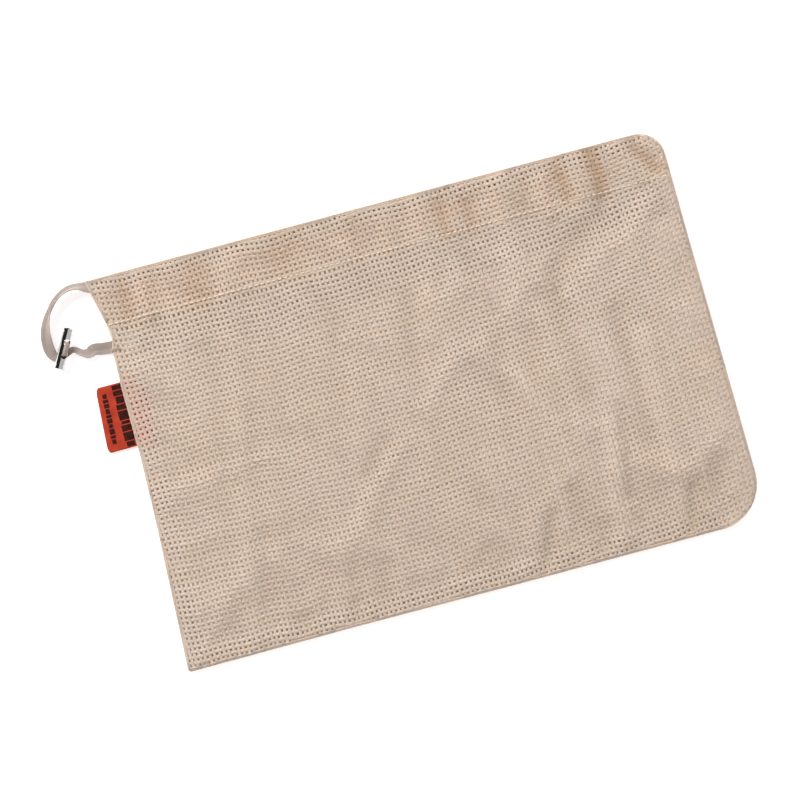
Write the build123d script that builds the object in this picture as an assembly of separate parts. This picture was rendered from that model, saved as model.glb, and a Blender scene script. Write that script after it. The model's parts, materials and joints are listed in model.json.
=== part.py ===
"""Cotton mesh produce bag lying flat: two mesh panels, a turned hem with a tape drawstring, a metal
cord lock on the tape's loop and a folded label in the side seam.

Millimetres. +X runs along the mouth away from the tape's loop, +Y from the bottom seam to the mouth,
+Z up from the surface that the bag lies on. The origin is on that surface, in the middle of the bag
and its label.
"""
from build123d import *
import math
import os

os.makedirs("parts", exist_ok=True)

# ------------------------------------------------------------------ driving dimensions
CLOTH = 0.5  # thickness of one layer of mesh
TAPE_W = 6.4  # drawstring tape, a quarter of an inch wide
TAPE_T = 0.7
CHANNEL = 1.2  # clear height inside a hem, round the tape
INSIDE = 4.2  # clear height between the two hems
SEAM_T = 1.2  # turned-in seam allowances, both leaves together
SEAM_W = 9.0
SLOPE = 24.0  # how far the front panel takes to rise from a seam to its full height
HEM = 26.5  # height of the hem from the mouth to its stitch line
MOUTH_Y = 104.0  # front mouth edge
BACK_MOUTH_Y = 88.0  # the back mouth edge has slipped lower
BOTTOM_Y = -104.0
FRONT_TAPE_Y = 100.0
BACK_TAPE_Y = 68.0
STITCH_PITCH = 3.2
STITCH = (2.4, 0.5, 0.2)

BARREL_R = 2.65
BARREL_L = 22.0
BARREL_CENTRE = (-167.6, 73.5)
BARREL_ANGLE = 241.3  # direction of the barrel's axis in the XY plane, degrees
HOLE_R = 1.8
HOLE_OFFSET = 3.4  # each cross hole from the barrel's middle
HOLE_TILT = 30.0  # the holes lean this far from straight up
BIGHT_R = 1.15

TAG_Y = (15.5, 49.5)
TAG_T = 0.6
TAG_HINGE_X = -145.4

# ------------------------------------------------------------------ heights of the layers
BACK_TOP = CLOTH
BACK_HEM_UNDER = BACK_TOP + CHANNEL
BACK_HEM_TOP = BACK_HEM_UNDER + CLOTH
FRONT_HEM_UNDER = BACK_HEM_TOP + INSIDE
FRONT_HEM_TOP = FRONT_HEM_UNDER + CLOTH
FRONT_UNDER = FRONT_HEM_TOP + CHANNEL
FRONT_TOP = FRONT_UNDER + CLOTH
RIM = BACK_TOP + SEAM_T  # where the front panel meets the seam allowances
FRONT_TAPE_Z = FRONT_HEM_TOP + CHANNEL / 2
BACK_TAPE_Z = BACK_TOP + CHANNEL / 2
TAG_Z = BACK_TOP + SEAM_T / 2

# ------------------------------------------------------------------ plan outlines
SEAM_LINE = [(-143.9, 46.0), (-144.4, 0.0), (-149.0, BOTTOM_Y)]  # side seam, from the top down
SLIT_FOOT = (-143.0, 66.0)  # the side seam is open above this point
MOUTH_LEFT = (-148.3, MOUTH_Y)
LOW_CORNER_R = 24.0
TOP_CORNER_R = 13.0
RIGHT_LOW_X = 159.5
RIGHT_TOP_X = 157.0
FOLD_INSET = 4.0  # the fold on the right rises steeply
FACING_END_X = 137.5
TURN_X = 138.5  # the tape's turn inside the fold starts here


def corner(centre, radius, start, end, steps=6):
    """Points along a round corner, angles in degrees, anticlockwise."""
    points = []
    for step in range(steps + 1):
        angle = math.radians(start + (end - start) * step / steps)
        points.append((centre[0] + radius * math.cos(angle), centre[1] + radius * math.sin(angle)))
    return points


def outline():
    """The bag's plan where it meets its seams."""
    low = (RIGHT_LOW_X - LOW_CORNER_R, BOTTOM_Y + LOW_CORNER_R)
    top = (RIGHT_TOP_X - TOP_CORNER_R, MOUTH_Y - TOP_CORNER_R)
    rounds = corner(low, LOW_CORNER_R, -90, 0) + corner(top, TOP_CORNER_R, 0, 90)
    return [MOUTH_LEFT, SLIT_FOOT] + SEAM_LINE + rounds


def plateau():
    """The plan of the front panel's level part, point for point with outline()."""
    seam = [(x + SLOPE, y) for x, y in SEAM_LINE]
    seam[-1] = (seam[-1][0], BOTTOM_Y + SLOPE)
    low_r = 6.0
    low = (RIGHT_LOW_X - FOLD_INSET - low_r, BOTTOM_Y + SLOPE + low_r)
    top_r = TOP_CORNER_R - 0.5
    top = (RIGHT_TOP_X - FOLD_INSET - top_r, MOUTH_Y - top_r)
    rounds = corner(low, low_r, -90, 0) + corner(top, top_r, 0, 90)
    return [MOUTH_LEFT, SLIT_FOOT] + seam + rounds


def flat(points, z):
    """A closed polygon as a face at height z."""
    return Pos(0, 0, z) * make_face(Polyline(*points, close=True))


def prism(points, low, high):
    """An upright solid on a closed polygon."""
    return extrude(flat(points, low), amount=high - low, dir=(0, 0, 1))


def block(x, y, z):
    """A box from three (low, high) pairs."""
    size = [high - low for low, high in (x, y, z)]
    middle = [(high + low) / 2 for low, high in (x, y, z)]
    return Pos(*middle) * Box(*size)


def along_x(profile, low, high):
    """A solid with a (y, z) profile, from x = low to x = high."""
    points = [(low, y, z) for y, z in profile]
    return extrude(make_face(Polyline(*points, close=True)), amount=high - low, dir=(1, 0, 0))


def save(name, shape):
    """Write one named piece."""
    export_step(shape, "parts/" + name + ".step")


# ------------------------------------------------------------------ cloth
def front_panel():
    """The upper layer: level in the middle, sloping to the seams and the fold, open at the mouth."""
    tray = loft([flat(outline(), RIM), flat(plateau(), FRONT_TOP)], ruled=True)
    skin = tray - Pos(0, 0, -CLOTH) * tray
    fold = block((MOUTH_LEFT[0], FACING_END_X), (MOUTH_Y - CLOTH, MOUTH_Y), (FRONT_HEM_UNDER, FRONT_TOP))
    return skin + fold


def back_panel():
    """The lower layer, with its own mouth edge and the upturned fold on the right."""
    back_cut = block((-200, 200), (BACK_MOUTH_Y, 200), (-1, 20))
    sheet = prism(outline(), 0, BACK_TOP) - back_cut
    shrink = 1.7
    low = (RIGHT_LOW_X - LOW_CORNER_R, BOTTOM_Y + LOW_CORNER_R)
    edge = corner(low, LOW_CORNER_R, -85, 0) + [(RIGHT_TOP_X, BACK_MOUTH_Y)]
    inner = corner(low, LOW_CORNER_R - shrink, -85, 0) + [(RIGHT_TOP_X - shrink, BACK_MOUTH_Y)]
    rim = prism(edge + inner[::-1], BACK_TOP, RIM)
    mouth_fold = block((-146.0, FACING_END_X), (BACK_MOUTH_Y - CLOTH, BACK_MOUTH_Y), (0, BACK_HEM_TOP))
    return sheet + rim + mouth_fold


def facing(mouth_y, away, foot, step):
    """The turned-over layer of a hem: flat beside the tape, then stepping to the panel at its stitches.

    away is the height of its face towards the inside of the bag, foot the height of the panel's face
    that it is stitched to, and step the sign of the way from one to the other.
    """
    stitched = mouth_y - HEM
    near = away + step * CLOTH
    profile = [
        (mouth_y - CLOTH, away),
        (mouth_y - CLOTH, near),
        (stitched + 3.0, near),
        (stitched + 1.4, foot),
        (stitched - 2.0, foot),
        (stitched - 2.0, foot - step * CLOTH),
        (stitched + 1.0, foot - step * CLOTH),
        (stitched + 2.6, away),
    ]
    return along_x(profile, -150, FACING_END_X) & prism(outline(), -1, 20)


def seam_point(y):
    """X of the side seam at a height y below the slit."""
    points = [SLIT_FOOT] + SEAM_LINE
    for (x1, y1), (x2, y2) in zip(points, points[1:]):
        if y2 <= y <= y1:
            return x1 + (x2 - x1) * (y1 - y) / (y1 - y2)
    return points[-1][0]


SIDE_TOP_Y = 58.0
SIDE_LOW_Y = BOTTOM_Y + SEAM_W
BOTTOM_END_X = RIGHT_LOW_X - LOW_CORNER_R


def side_seam_allowance():
    """Both raw edges of the side seam, turned inside, with the label's end between them."""
    heights = [SIDE_TOP_Y, SEAM_LINE[0][1], SEAM_LINE[1][1], SIDE_LOW_Y]
    outer = [(seam_point(y), y) for y in heights]
    inner = [(x + SEAM_W, y) for x, y in outer]
    strip = prism(outer + inner[::-1], BACK_TOP, RIM)
    return strip - block((-160, -100), TAG_Y, (TAG_Z - TAG_T / 2, TAG_Z + TAG_T / 2))


def bottom_seam_allowance():
    """Both raw edges of the bottom seam, turned inside."""
    strip = [
        (SEAM_LINE[-1][0], BOTTOM_Y),
        (BOTTOM_END_X, BOTTOM_Y),
        (BOTTOM_END_X, SIDE_LOW_Y),
        (seam_point(SIDE_LOW_Y), SIDE_LOW_Y),
    ]
    return prism(strip, BACK_TOP, RIM)


def stitch_row(start, end, z, across=False):
    """Short stitches along a straight line from start to end; across turns each one crosswise."""
    count = int(math.dist(start, end) / STITCH_PITCH)
    turn = math.degrees(math.atan2(end[1] - start[1], end[0] - start[0])) + (90 if across else 0)
    stitches = []
    for index in range(count + 1):
        share = index / count
        x = start[0] + (end[0] - start[0]) * share
        y = start[1] + (end[1] - start[1]) * share
        stitches.append(Pos(x, y, z + STITCH[2] / 2) * Rot(0, 0, turn) * Box(*STITCH))
    return Compound(children=stitches)


# ------------------------------------------------------------------ label
def tag_label():
    """The part of the folded label that stands out of the seam."""
    low, high = TAG_Y
    root = TAG_HINGE_X - 0.5
    corners = [(root, high), (-157.3, high), (-159.5, low), (root, low)]
    plate = prism(corners, TAG_Z - TAG_T / 2, TAG_Z + TAG_T / 2)
    outer_edges = plate.edges().filter_by(Axis.Z).sort_by(Axis.X)[:2]
    return fillet(outer_edges, 1.4)


def tag_print():
    """Two rows of plain printed blocks along the label."""
    outer_row = [2.6, 1.4, 3.2, 1.8, 2.6, 1.2, 3.0, 2.0, 1.6]
    inner_row = [2.0, 4.6, 3.0, 1.4, 5.2, 3.6]
    gap = 0.9
    height = 0.06
    blocks = []
    for lengths, x, width in ((outer_row, -154.9, 2.2), (inner_row, -149.4, 4.0)):
        room = TAG_Y[1] - TAG_Y[0]
        y = TAG_Y[0] + (room - sum(lengths) - gap * (len(lengths) - 1)) / 2
        for length in lengths:
            z = TAG_Z + TAG_T / 2 + height / 2
            blocks.append(Pos(x, y + length / 2, z) * Box(width, length, height))
            y += length + gap
    return Compound(children=blocks)


# ------------------------------------------------------------------ drawstring
FRONT_EXIT_X = -149.5
BACK_EXIT_X = -147.5
TUBE_R = math.sqrt(TAPE_W * TAPE_T / math.pi)  # a round cord with the tape's own section area
STRAND_LOW = 0.3
STRAND_START = (-174.5, 71.8)
LOOP_ROUTE = [
    (FRONT_EXIT_X, FRONT_TAPE_Y, FRONT_TAPE_Z),
    (-154.6, FRONT_TAPE_Y, FRONT_TAPE_Z),
    (-160.8, 99.4, 6.7),
    (-167.4, 96.6, 4.9),
    (-173.0, 91.9, 3.1),
    (-177.0, 86.7, 1.8),
    (-179.6, 81.3, TUBE_R),
    (-180.7, 76.1, TUBE_R),
    (-178.1, 72.3, TUBE_R),
    (STRAND_START[0], STRAND_START[1], TUBE_R),
]


def run(y, z, left):
    """A straight length of tape inside a hem."""
    half_w = TAPE_W / 2
    half_t = TAPE_T / 2
    return block((left, TURN_X - 0.3), (y - half_w, y + half_w), (z - half_t, z + half_t))


def fold_turn():
    """The tape where it crosses from the front hem to the back one inside the fold."""
    half_w = TAPE_W / 2
    half_t = TAPE_T / 2
    profile = [
        (FRONT_TAPE_Y + half_w, FRONT_TAPE_Z - half_t),
        (FRONT_TAPE_Y + half_w, FRONT_TAPE_Z + half_t),
        (FRONT_TAPE_Y - half_w, FRONT_TAPE_Z + half_t),
        (BACK_TAPE_Y + half_w, BACK_TAPE_Z + half_t),
        (BACK_TAPE_Y - half_w, BACK_TAPE_Z + half_t),
        (BACK_TAPE_Y - half_w, BACK_TAPE_Z - half_t),
        (BACK_TAPE_Y + half_w, BACK_TAPE_Z - half_t),
        (FRONT_TAPE_Y - half_w, FRONT_TAPE_Z - half_t),
    ]
    return along_x(profile, TURN_X, TURN_X + TAPE_W)


def lap_stitching():
    """Bars of thread that join the tape's two ends, on top of the back run."""
    bars = []
    for offset in (-4.5, -1.5, 1.5, 4.5):
        z = BACK_TAPE_Z + TAPE_T / 2 + 0.05
        bars.append(Pos(20 + offset, BACK_TAPE_Y, z) * Box(0.5, 4.6, 0.1))
    return Compound(children=bars)


def cord_tube(route, name):
    """A round cord on straight runs joined by arcs as large as the runs allow."""
    vectors = [Vector(*point) for point in route]
    radii = []
    for before, here, after in zip(vectors, vectors[1:], vectors[2:]):
        turn = math.radians((here - before).get_angle(after - here))
        shorter = min((here - before).length, (after - here).length)
        radii.append(0.45 * shorter / math.tan(turn / 2))
    path = FilletPolyline(*vectors, radius=radii)
    tube = sweep(Plane(origin=path @ 0, z_dir=path % 0) * Circle(TUBE_R), path=path)
    print(name, "radii", [round(radius, 1) for radius in radii], "length", round(path.length, 1))
    print(name, "volume", round(tube.volume, 1), "section x length", round(math.pi * TUBE_R**2 * path.length, 1))
    return tube


def lock_strand():
    """The flat stretch of tape from the loop's far end, under the lock, to the back hem."""
    half_w = TAPE_W / 2
    x1, y1 = STRAND_START
    slope = (BACK_TAPE_Y - y1) / (BACK_EXIT_X - x1)
    skew = half_w / math.hypot(1, slope)
    start = [(x1 - slope * skew, y1 + skew), (x1 + slope * skew, y1 - skew)]
    end = [(BACK_EXIT_X, BACK_TAPE_Y - half_w), (BACK_EXIT_X, BACK_TAPE_Y + half_w)]
    return prism(start + end, STRAND_LOW, STRAND_LOW + TAPE_T)


# ------------------------------------------------------------------ cord lock
BARREL_Z = STRAND_LOW + TAPE_T + 0.3 + BARREL_R
AXIS = Vector(math.cos(math.radians(BARREL_ANGLE)), math.sin(math.radians(BARREL_ANGLE)), 0)
RIGHT = Vector(-AXIS.Y, AXIS.X, 0)
TILT = math.radians(HOLE_TILT)
HOLE = RIGHT * math.sin(TILT) + Vector(0, 0, 1) * math.cos(TILT)
CENTRE = Vector(BARREL_CENTRE[0], BARREL_CENTRE[1], BARREL_Z)


def barrel():
    """A turned metal barrel with two cross holes, a groove near each end and broken edges."""
    body = Cylinder(BARREL_R, BARREL_L)
    body = chamfer(body.edges().filter_by(GeomType.CIRCLE), 0.45)
    for side in (-1, 1):
        groove = Cylinder(BARREL_R + 1, 0.7) - Cylinder(BARREL_R - 0.25, 0.7)
        body -= Pos(0, 0, side * (BARREL_L / 2 - 2.2)) * groove
    body = Plane(origin=CENTRE, z_dir=AXIS) * body
    for side in (-1, 1):
        place = Plane(origin=CENTRE + AXIS * (side * HOLE_OFFSET), z_dir=HOLE)
        body -= place * Cylinder(HOLE_R, BARREL_R * 4)
    return body


def bight():
    """The tape's bight, bunched, up through one hole, over the bridge and down the other."""
    top = BARREL_R + BIGHT_R + 0.35
    low = -2.2
    points = []
    for along, up in ((1, low), (1, top), (-1, top), (-1, low)):
        points.append(CENTRE + AXIS * (along * HOLE_OFFSET) + HOLE * up)
    path = FilletPolyline(*points, radius=2.0)
    return sweep(Plane(origin=path @ 0, z_dir=path % 0) * Circle(BIGHT_R), path=path)


# ------------------------------------------------------------------ write the pieces
BACK_STITCH_Y = BACK_MOUTH_Y - HEM
FRONT_STITCH_Y = MOUTH_Y - HEM
OVERLOCK = SEAM_W - 1.4  # the overlock runs this far in from the edge

save("front_panel", front_panel())
save("back_panel", back_panel())
save("front_hem_facing", facing(MOUTH_Y, FRONT_HEM_UNDER, FRONT_UNDER, 1))
save("back_hem_facing", facing(BACK_MOUTH_Y, BACK_HEM_TOP, BACK_TOP, -1))
save("side_seam_allowance", side_seam_allowance())
save("bottom_seam_allowance", bottom_seam_allowance())
save("front_hem_stitching", stitch_row((-138, FRONT_STITCH_Y), (148, FRONT_STITCH_Y), FRONT_TOP))
save("back_hem_stitching", stitch_row((-138, BACK_STITCH_Y - 0.5), (136, BACK_STITCH_Y - 0.5), BACK_TOP + CLOTH))
side_top = (seam_point(52) + OVERLOCK, 52)
side_low = (seam_point(-92) + OVERLOCK, -92)
save("side_seam_stitching", stitch_row(side_low, side_top, RIM, across=True))
bottom_y = BOTTOM_Y + OVERLOCK
save("bottom_seam_stitching", stitch_row((-134, bottom_y), (130, bottom_y), RIM, across=True))
save("side_seam_bar_tack", block((-141.2, -136.2), (55.2, 56.8), (RIM, RIM + 0.25)))
save("tag_sewn_end", block((-143.8, -133.4), TAG_Y, (TAG_Z - TAG_T / 2, TAG_Z + TAG_T / 2)))
save("tag_label", tag_label())
save("tag_print", tag_print())
save("drawstring_front_run", run(FRONT_TAPE_Y, FRONT_TAPE_Z, FRONT_EXIT_X))
save("drawstring_back_run", run(BACK_TAPE_Y, BACK_TAPE_Z, BACK_EXIT_X))
save("drawstring_fold_turn", fold_turn())
save("drawstring_lap_stitching", lap_stitching())
save("drawstring_loop", cord_tube(LOOP_ROUTE, "drawstring_loop"))
save("drawstring_lock_strand", lock_strand())
save("drawstring_bight", bight())
save("cord_lock_barrel", barrel())
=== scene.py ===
"""Mesh produce bag lying flat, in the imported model's frame: metres, +X along the mouth, +Y from the
bottom seam to the mouth, +Z up. Every thread of the open weave is a real strand that follows the cloth.
"""
import json
import math

import bpy
import numpy as np
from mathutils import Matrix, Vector

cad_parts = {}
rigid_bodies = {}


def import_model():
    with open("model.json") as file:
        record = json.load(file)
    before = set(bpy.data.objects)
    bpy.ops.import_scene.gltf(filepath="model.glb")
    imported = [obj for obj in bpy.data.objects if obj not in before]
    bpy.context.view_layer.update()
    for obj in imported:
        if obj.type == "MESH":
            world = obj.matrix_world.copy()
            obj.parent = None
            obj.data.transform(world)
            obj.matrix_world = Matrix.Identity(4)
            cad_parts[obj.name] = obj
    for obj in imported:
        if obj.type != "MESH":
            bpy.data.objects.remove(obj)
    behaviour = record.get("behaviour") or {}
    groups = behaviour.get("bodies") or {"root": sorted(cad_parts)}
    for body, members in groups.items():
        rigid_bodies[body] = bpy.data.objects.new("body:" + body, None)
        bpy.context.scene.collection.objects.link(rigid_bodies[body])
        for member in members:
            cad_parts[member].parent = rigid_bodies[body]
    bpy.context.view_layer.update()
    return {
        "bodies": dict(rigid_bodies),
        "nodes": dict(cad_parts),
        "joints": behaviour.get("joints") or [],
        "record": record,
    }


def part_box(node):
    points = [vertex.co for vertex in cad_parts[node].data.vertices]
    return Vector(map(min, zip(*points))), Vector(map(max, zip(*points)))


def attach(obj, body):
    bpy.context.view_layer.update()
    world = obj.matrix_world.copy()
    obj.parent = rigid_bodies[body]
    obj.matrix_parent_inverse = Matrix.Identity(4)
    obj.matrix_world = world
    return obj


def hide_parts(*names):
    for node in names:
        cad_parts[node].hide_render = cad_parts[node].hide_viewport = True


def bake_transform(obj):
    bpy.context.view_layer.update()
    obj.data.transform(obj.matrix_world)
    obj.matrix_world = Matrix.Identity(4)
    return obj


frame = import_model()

rng = np.random.default_rng(12)
MM = 0.001

# ------------ driving sizes, millimetres
WARP_PITCH = 2.5
WEFT_PITCH = 2.72
WARP_HALF = (0.85, 0.2)  # half width and half thickness of a thread
WEFT_HALF = (0.92, 0.2)
WEAVE = 0.08  # how far a thread rises and dips
SPACING_SLIP = 0.09  # how unevenly the threads are spaced
CROSSING_SLIP = 0.05  # and their crossings
WEAVE_PAST = 24  # how far the weave is laid out past an outline before it is clipped
TAPE_W = 6.4
TAPE_T = 0.7
HEM = 26.5
SEAM_W = 9.0
MOUTH_Y = 104.0
BACK_MOUTH_Y = 88.0
BOTTOM_Y = -104.0
STITCH_Y = MOUTH_Y - HEM
BACK_STITCH_Y = BACK_MOUTH_Y - HEM
FRONT_TAPE_Y = 100.0
BACK_TAPE_Y = 68.0
FRONT_TAPE_Z = 4.4
BACK_TAPE_Z = 1.72
TAPE_ROOM = 0.8  # from the tape's middle to the threads over and under it
TAG_Y = (15.5, 49.5)
LOW_CORNER = (135.5, -80.0, 24.0)  # centre and radius of the rounded corners on the fold side
TOP_CORNER = (144.0, 91.0, 13.0)

SLIT_EDGE = [(-148.3, 104.0), (-145.6, 91.0), (-142.2, 75.0), (-142.6, 70.5)]
SIDE_SEAM = [(-143.9, 66.0), (-144.4, 48.0), (-144.2, 10.0), (-145.4, -30.0), (-147.3, -68.0), (-148.9, -103.0)]


# ------------ plan of the bag
def arc(centre_radius, start, end, steps=8):
    """Points on a rounded corner, anticlockwise, angles in degrees."""
    x, y, radius = centre_radius
    angles = np.radians(np.linspace(start, end, steps + 1))
    return [(x + radius * math.cos(a), y + radius * math.sin(a)) for a in angles]


BOTTOM = [(-148.0, -104.0), (-60.0, -103.6), (30.0, -104.0)]
FOLD = arc(LOW_CORNER, -90, 0) + [(158.6, -20.0), (157.6, 40.0)] + arc(TOP_CORNER, 0, 90)
OUTLINE = np.array(SLIT_EDGE + SIDE_SEAM + BOTTOM + FOLD)
SEAM_CHAIN = np.array(SIDE_SEAM + BOTTOM + [FOLD[0]])
FOLD_CHAIN = np.array(FOLD[:-1])


def chain_distance(chain, points):
    """Distance from each plan point to a chain of straight pieces."""
    best = np.full(len(points), 1e9)
    for a, b in zip(chain, chain[1:]):
        along = b - a
        share = np.clip(((points - a) @ along) / (along @ along), 0, 1)
        best = np.minimum(best, np.linalg.norm(points - a - share[:, None] * along, axis=1))
    return best


def closed(polygon):
    """A polygon's points with the first one again at the end."""
    return np.vstack([polygon, polygon[:1]])


def inside(polygon, points):
    """Which plan points a closed polygon holds."""
    held = np.zeros(len(points), bool)
    for (x1, y1), (x2, y2) in zip(polygon, np.roll(polygon, -1, axis=0)):
        if y1 != y2:
            crosses = (y1 > points[:, 1]) != (y2 > points[:, 1])
            held ^= crosses & (points[:, 0] < x1 + (x2 - x1) * (points[:, 1] - y1) / (y2 - y1))
    return held


def signed_distance(polygon, points):
    """Distance to a closed polygon's edge, positive inside."""
    away = chain_distance(closed(polygon), points)
    return np.where(inside(polygon, points), away, -away)


def unit(vectors):
    """Each vector at length 1."""
    return vectors / (np.linalg.norm(vectors, axis=1)[:, None] + 1e-12)


def upright(count):
    """Straight-up directions."""
    return np.tile([0.0, 0.0, 1.0], (count, 1))


def inward(chain):
    """The direction to the left of a chain at each of its points."""
    along = np.gradient(chain, axis=0)
    return unit(np.column_stack([-along[:, 1], along[:, 0]]))


def slopes(height, points, step):
    """How steeply a height field rises along x and along y at plan points."""
    return [(height(points + move) - height(points - move)) / (2 * step) for move in step * np.eye(2)]


def smooth(value, low, high):
    """0 below low, 1 above high, and a smooth step between."""
    t = np.clip((value - low) / (high - low), 0, 1)
    return t * t * (3 - 2 * t)


# ------------ folds in the cloth
# for each fold its depth (negative for a valley), half width and points along it. The lines were placed one by
# one; a least-squares fitting program then set the depths and moved widths and ends; some were changed after.
FOLDS = [
    (-0.062, 3.6, [(119, 100), (121, 87), (120, 76)]), (-0.024, 7.0, [(-40, -84), (-40, -98)]),
    (-0.03, 5.0, [(-83, -94), (-83, -104)]), (-0.04, 3.8, [(53, -75), (45, -97)]),
    (-0.045, 4.0, [(126, -80), (122, -102)]), (-0.034, 6.0, [(144, -70), (136, -84)]),
    (-0.028, 5.0, [(-55, -93), (-55, -104)]), (-0.019, 7.0, [(20, -84), (20, -98)]),
    (-0.034, 6.5, [(68, -66), (73, -97)]), (-0.043, 3.0, [(101, 97), (103, 80)]),
    (-0.04, 5.2, [(-20, -16), (-33, -30)]), (-0.034, 3.0, [(38, 95), (38, 77)]),
    (-0.024, 6.5, [(-92, 97), (-92, 80)]), (-0.033, 4.0, [(100, -30), (95, -75)]),
    (-0.031, 3.0, [(52, 93), (52, 74)]), (-0.029, 5.5, [(119, 70), (97, 57), (87, 45), (85, 12), (85, -20)]),
    (-0.017, 8.5, [(-45, 97), (-45, 80)]), (-0.024, 4.0, [(-38, 68), (-28, 47)]),
    (-0.023, 4.0, [(42, 72), (52, 35)]), (-0.023, 4.0, [(-130, 97), (-130, 80)]),
    (-0.014, 8.5, [(-100, -60), (-85, -90)]), (-0.021, 5.0, [(10, 52), (5, 20)]),
    (-0.026, 3.6, [(111, 20), (113, -15), (111, -52)]), (-0.017, 3.0, [(-7, 97), (-7, 79)]),
    (-0.01, 8.5, [(-15, -60), (-20, -95)]), (-0.014, 6.0, [(-135, -2), (-45, 0)]),
    (-0.014, 4.0, [(82, 90), (80, 78)]), (-0.008, 8.5, [(-70, -60), (-60, -80)]),
    (-0.014, 5, [(90, -70), (100, -98)]), (-0.014, 5.2, [(85, -45), (80, -90)]),
    (-0.013, 6.0, [(-140, -49), (-70, -46)]), (-0.013, 5.0, [(0, -10), (20, -60)]),
    (-0.008, 5.0, [(-95, 70), (-95, 20)]), (-0.007, 5.0, [(-73, 60), (-73, 15)]),
    (-0.011, 4.2, [(33, 12), (53, -21), (60, -45), (73, -75)]), (-0.008, 5, [(20, -62), (40, -87)]),
    (0.009, 3.0, [(144, 96), (152, 84)]), (0.01, 3.4, [(57, -80), (57, -98)]), (0.011, 4.0, [(8, 97), (8, 80)]),
    (0.013, 5.0, [(-107, 70), (-110, 20)]), (0.022, 8.5, [(142, 10), (142, -50)]),
    (0.017, 5.0, [(25, 20), (5, -8), (-5, -41)]), (0.017, 4.0, [(37, -21), (37, -56)]),
    (0.017, 8.5, [(150, 50), (130, 20)]), (0.017, 4.5, [(80, 10), (78, -40)]),
    (0.019, 4, [(132, -20), (130, -70)]), (0.019, 4, [(31, 75), (18, 45)]),
    (0.021, 5, [(60, 60), (75, 20), (76, 0)]), (0.022, 7.0, [(37, 56), (17, 32)]),
    (0.024, 3.2, [(113, 97), (110, 80)]), (0.025, 4.0, [(-120, 97), (-120, 80)]),
    (0.025, 6.5, [(135, 52), (112, 26)]), (0.026, 4.0, [(53, 2), (67, -31), (68, -55)]),
    (0.029, 5.2, [(27, 97), (27, 80)]), (0.03, 5.2, [(-67, 97), (-67, 80)]),
    (0.042, 5.2, [(123, 3), (122, -28), (120, -68)]), (0.034, 5.9, [(70, 70), (72, 44)]),
    (0.036, 6.5, [(141, 68), (132, 57), (110, 47), (97, 30), (101, 0), (104, -17), (96, -37), (90, -63), (87, -99)]),
    (0.057, 5.2, [(68, 97), (68, 80)]), (0.059, 3.4, [(92, 93), (92, 76)]),
    (-0.003, 3.0, [(-130, -91), (60, -91)]), (0.013, 3.6, [(-140, -98), (60, -98)]),
    (-0.05, 3.2, [(142, 97), (151, 84)]), (0.03, 4.0, [(133, 98), (140, 80)]),
]

FOLD_DEPTH = 38.0  # millimetres for a fold of depth 1
FOLD_LIMIT = 3.4


def fold_height(points):
    """Sum of the folds at plan points, each fading out towards its ends."""
    total = np.zeros(len(points))
    for height, width, route in FOLDS:
        chain = np.array(route, float)
        away = chain_distance(chain, points)
        total += FOLD_DEPTH * height * np.exp(-((away / width) ** 2))
    return FOLD_LIMIT * np.tanh(total / FOLD_LIMIT)


def bunching(points):
    """How far the cloth is drawn sideways into its folds."""
    return -0.9 * np.stack(slopes(fold_height, points, 0.5), axis=-1)


RIPPLES = [
    (rng.uniform(14, 46), rng.uniform(0, math.pi), rng.uniform(0, 2 * math.pi), rng.uniform(0.05, 0.14))
    for _ in range(14)
]


def wander(points):
    """Slow sideways drift of the threads, in millimetres."""
    total = np.zeros((len(points), 2))
    for wavelength, heading, phase, height in RIPPLES:
        across = np.array([-math.sin(heading), math.cos(heading)])
        along = points[:, 0] * math.cos(heading) + points[:, 1] * math.sin(heading)
        total += across * (2.0 * height * np.cos(along * 2 * math.pi / (wavelength * 1.7) + phase))[:, None]
    return total


def ripple_height(points):
    """Faint unevenness everywhere, in many directions."""
    total = np.zeros(len(points))
    for wavelength, heading, phase, height in RIPPLES:
        along = points[:, 0] * math.cos(heading) + points[:, 1] * math.sin(heading)
        total += height * np.sin(along * 2 * math.pi / wavelength + phase)
    return total


# ------------ height of each layer, millimetres
SEAM_MID = 1.6
FOLD_MID = 2.5
BACK_Z = 0.55
FRONT_Z = 6.4


def rolled(away, mid, level, radius):
    """Height near an edge where the cloth rolls from mid height over to its own level."""
    t = np.clip(1 - away / radius, 0, 1)
    return mid + (level - mid) * np.sqrt(1 - t * t)


DRAPE_STEP = 4.0
DRAPE_XS = np.arange(-156.0, 168.0, DRAPE_STEP)
DRAPE_YS = np.arange(-112.0, 114.0, DRAPE_STEP)
drape_shift = np.zeros((len(DRAPE_XS), len(DRAPE_YS), 3))


def draped(points):
    """The part of the simulated cloth's movement that is used at plan points, in x, y and z."""
    x = np.clip((points[:, 0] - DRAPE_XS[0]) / DRAPE_STEP, 0, len(DRAPE_XS) - 1.001)
    y = np.clip((points[:, 1] - DRAPE_YS[0]) / DRAPE_STEP, 0, len(DRAPE_YS) - 1.001)
    i, j = x.astype(int), y.astype(int)
    fx, fy = smooth(x - i, 0, 1)[:, None], smooth(y - j, 0, 1)[:, None]
    low = drape_shift[i, j] * (1 - fx) + drape_shift[i + 1, j] * fx
    high = drape_shift[i, j + 1] * (1 - fx) + drape_shift[i + 1, j + 1] * fx
    return low * (1 - fy) + high * fy


def channel(points, tape_y):
    """How far plan points lie over the tape's straight way: 1 over it, 0 clear of it."""
    along = smooth(chain_distance(FOLD_CHAIN, points), 1, 7)
    return along * (1 - smooth(np.abs(points[:, 1] - tape_y), 4, 8))


def kept_over(heights, points, tape_y, tape_z):
    """Heights raised where they would rub on the tape below."""
    return heights + channel(points, tape_y) * np.maximum(tape_z + TAPE_ROOM - heights, 0)


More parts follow.
